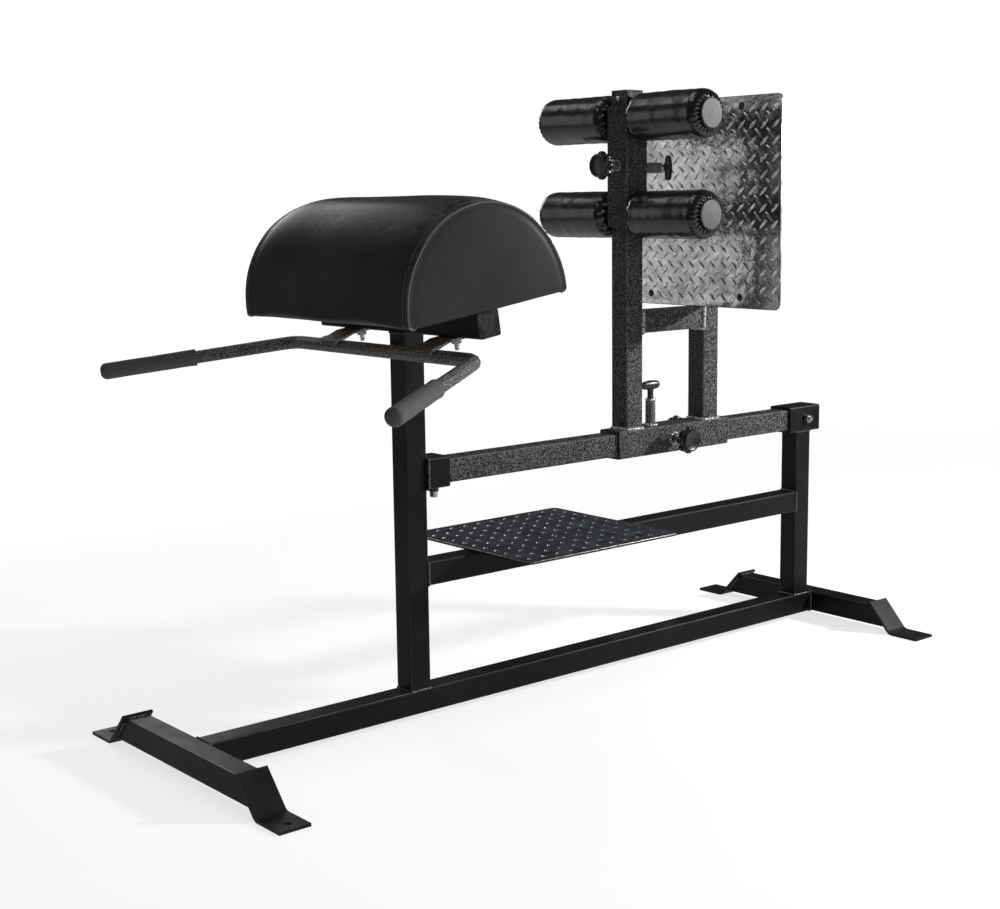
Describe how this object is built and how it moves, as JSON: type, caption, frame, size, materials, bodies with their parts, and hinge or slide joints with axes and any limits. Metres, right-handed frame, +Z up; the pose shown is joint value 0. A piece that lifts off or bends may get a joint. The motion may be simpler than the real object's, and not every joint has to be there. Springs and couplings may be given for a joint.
{
  "type": "roman chair",
  "caption": "Glute-ham bench: half-round pad and handlebar on a front post, rail-mounted sliding carriage with foam ankle rollers, diamond-tread toe plate and a low step plate.",
  "frame": {"origin": "on the floor under the middle of the machine's length, on its centre plane", "axes": "+X runs from the pad end to the roller end, +Y to the far side, +Z up"},
  "size_m": [1.8338, 1.038, 1.2783],
  "materials": {
    "satin_black": "satin black paint, smooth",
    "hammertone": "dark grey hammertone powder coat",
    "zinc": "bright zinc plate",
    "spring_steel": "plain spring wire",
    "black_vinyl": "smooth black leather-like vinyl, semi gloss",
    "grip_foam": "matt dark grey grip",
    "black_plastic": "moulded black plastic",
    "grey_plastic": "grainy grey plastic",
    "tread_plate": "dark metallic diamond tread",
    "step_paint": "dark gloss paint on punched plate",
    "plywood": "plain plywood"
  },
  "bodies": {
    "frame": {"base_rail": "satin_black", "front_cross_tube": "satin_black", "rear_cross_tube": "satin_black", "front_foot_plate_near": "satin_black", "front_foot_plate_far": "satin_black", "rear_foot_plate_near": "satin_black", "rear_foot_plate_far": "satin_black", "front_post": "satin_black", "rear_post": "satin_black", "mid_rail": "satin_black", "front_rail_bracket": "satin_black", "rear_rail_sleeve": "satin_black", "top_rail": "hammertone", "rail_cross_bolt": "zinc", "rail_cross_nut": "zinc", "rail_lock_bolt": "zinc", "step_plate": "step_paint", "step_crossbar_front": "satin_black", "step_crossbar_rear": "satin_black", "pad_cross_tube": "satin_black", "saddle_plug_near": "black_plastic", "saddle_plug_far": "black_plastic", "pad_board": "plywood", "pad": "black_vinyl", "handlebar": "hammertone", "handlebar_strap_near": "hammertone", "handlebar_strap_far": "hammertone", "handlebar_bolt_near": "zinc", "handlebar_bolt_far": "zinc", "grip_near": "grip_foam", "grip_far": "grip_foam"},
    "carriage": {"carriage_sleeve": "hammertone", "carriage_liner_front": "black_plastic", "carriage_liner_rear": "black_plastic", "tall_upright": "hammertone", "short_upright": "hammertone", "upright_bridge": "hammertone", "upright_cap": "hammertone", "stop_screw": "zinc", "toe_plate": "tread_plate", "toe_plate_strap_upper": "hammertone", "toe_plate_strap_lower": "hammertone", "carriage_pin_barrel": "hammertone", "carriage_spring": "spring_steel"},
    "carriage_pin": {"carriage_pin": "black_plastic"},
    "carriage_knob_near": {"carriage_knob_near": "black_plastic"},
    "carriage_knob_far": {"carriage_knob_far": "black_plastic"},
    "roller_carriage": {"roller_sleeve": "hammertone", "sleeve_pin_barrel": "hammertone", "sleeve_spring": "spring_steel"},
    "sleeve_pin": {"sleeve_pin": "black_plastic"},
    "sleeve_knob": {"sleeve_knob": "black_plastic"},
    "roller_low_near": {"roller_low_near": "black_vinyl", "roller_disc_low_near": "grey_plastic"},
    "roller_low_far": {"roller_low_far": "black_vinyl", "roller_disc_low_far": "grey_plastic"},
    "roller_top_near": {"roller_top_near": "black_vinyl", "roller_disc_top_near": "grey_plastic"},
    "roller_top_far": {"roller_top_far": "black_vinyl", "roller_disc_top_far": "grey_plastic"}
  },
  "joints": [
    {"name": "carriage_slide", "type": "slide", "parent": "frame", "child": "carriage", "axis": [1, 0, 0], "range_m": [-0.3, 0.2]},
    {"name": "roller_height", "type": "slide", "parent": "carriage", "child": "roller_carriage", "axis": [0, 0, 1], "range_m": [-0.15, 0.009]},
    {"name": "carriage_pin_pull", "type": "slide", "parent": "carriage", "child": "carriage_pin", "axis": [0, 0, 1], "range_m": [0, 0.014], "stiffness_N_per_m": 1500, "springref_m": -0.014, "deforming": ["carriage_spring"]},
    {"name": "sleeve_pin_pull", "type": "slide", "parent": "roller_carriage", "child": "sleeve_pin", "axis": [1, 0, 0], "range_m": [0, 0.014], "stiffness_N_per_m": 1500, "springref_m": -0.014, "deforming": ["sleeve_spring"]},
    {"name": "carriage_knob_near_turn", "type": "hinge", "parent": "carriage", "child": "carriage_knob_near", "pos_m": [0.3548, -0.0315, 0.5073], "axis": [0, -1, 0], "range_deg": [-540, 0]},
    {"name": "carriage_knob_far_turn", "type": "hinge", "parent": "carriage", "child": "carriage_knob_far", "pos_m": [0.4738, 0.0315, 0.5073], "axis": [0, 1, 0], "range_deg": [-540, 0]},
    {"name": "sleeve_knob_turn", "type": "hinge", "parent": "roller_carriage", "child": "sleeve_knob", "pos_m": [0.2058, 0, 1.118], "axis": [-1, 0, 0], "range_deg": [-540, 0]},
    {"name": "roller_low_near_spin", "type": "hinge", "parent": "roller_carriage", "child": "roller_low_near", "pos_m": [0.2373, -0.139, 1.012], "axis": [0, 1, 0], "continuous": true},
    {"name": "roller_low_far_spin", "type": "hinge", "parent": "roller_carriage", "child": "roller_low_far", "pos_m": [0.2373, 0.139, 1.012], "axis": [0, 1, 0], "continuous": true},
    {"name": "roller_top_near_spin", "type": "hinge", "parent": "roller_carriage", "child": "roller_top_near", "pos_m": [0.2373, -0.139, 1.2195], "axis": [0, 1, 0], "continuous": true},
    {"name": "roller_top_far_spin", "type": "hinge", "parent": "roller_carriage", "child": "roller_top_far", "pos_m": [0.2373, 0.139, 1.2195], "axis": [0, 1, 0], "continuous": true}
  ]
}
